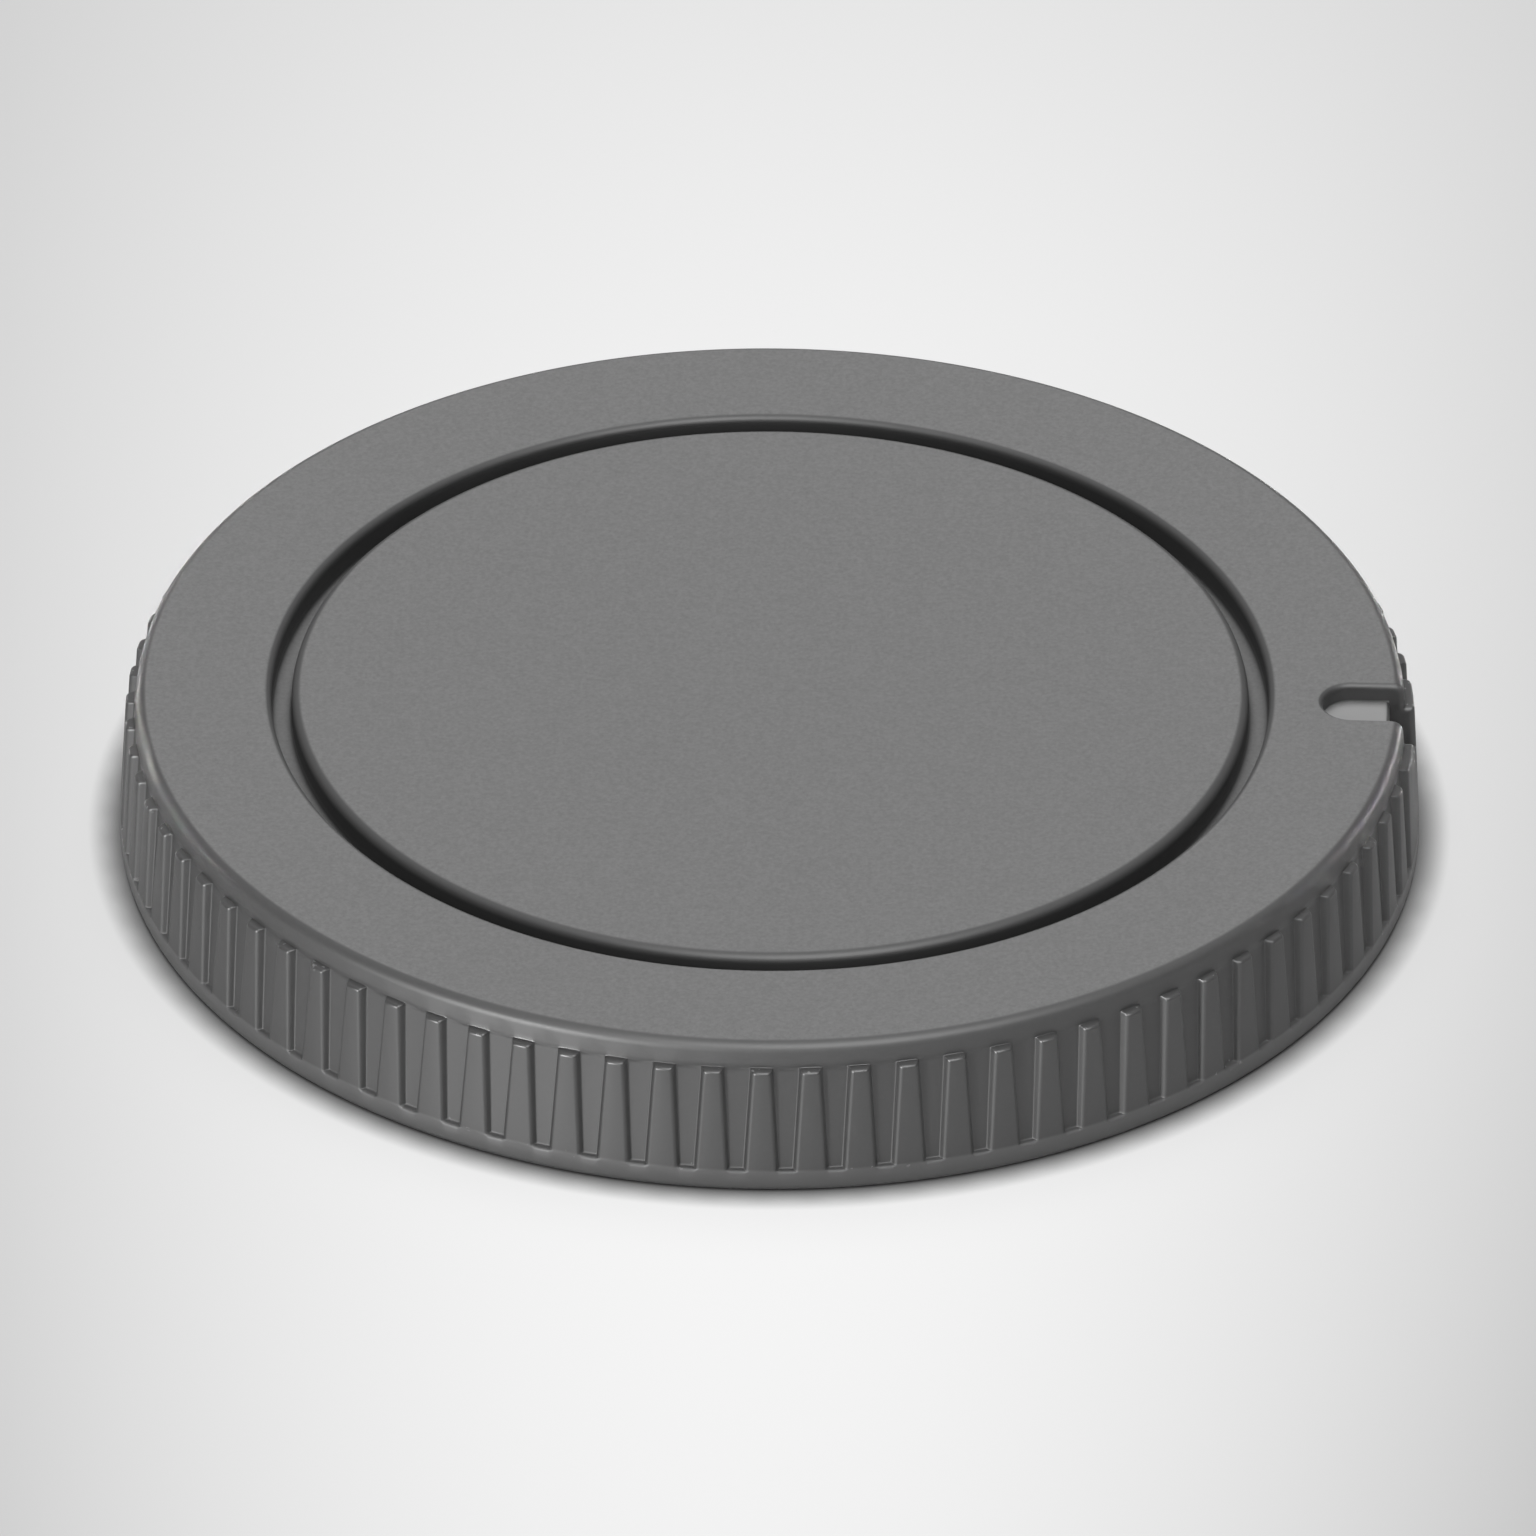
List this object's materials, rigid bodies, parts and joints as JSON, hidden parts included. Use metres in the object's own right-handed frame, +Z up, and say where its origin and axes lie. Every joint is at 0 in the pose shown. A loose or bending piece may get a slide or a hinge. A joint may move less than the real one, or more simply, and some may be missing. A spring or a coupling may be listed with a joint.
{
  "type": "camera body cap",
  "caption": "Round moulded body cap that closes a camera's lens mount, with a ribbed grip, a ring groove, an index notch and a bayonet collar underneath.",
  "frame": {"origin": "centre of the rim that the cap rests on, at the foot of the skirt", "axes": "+Z up through the face, away from the camera; +X towards the index mark"},
  "size_m": [0.062, 0.062, 0.0078],
  "materials": {
    "cap_plastic": "fine matte grain on the face, smoother satin on the grip"
  },
  "bodies": {
    "root": {"body_cap": "cap_plastic"}
  },
  "joints": []
}
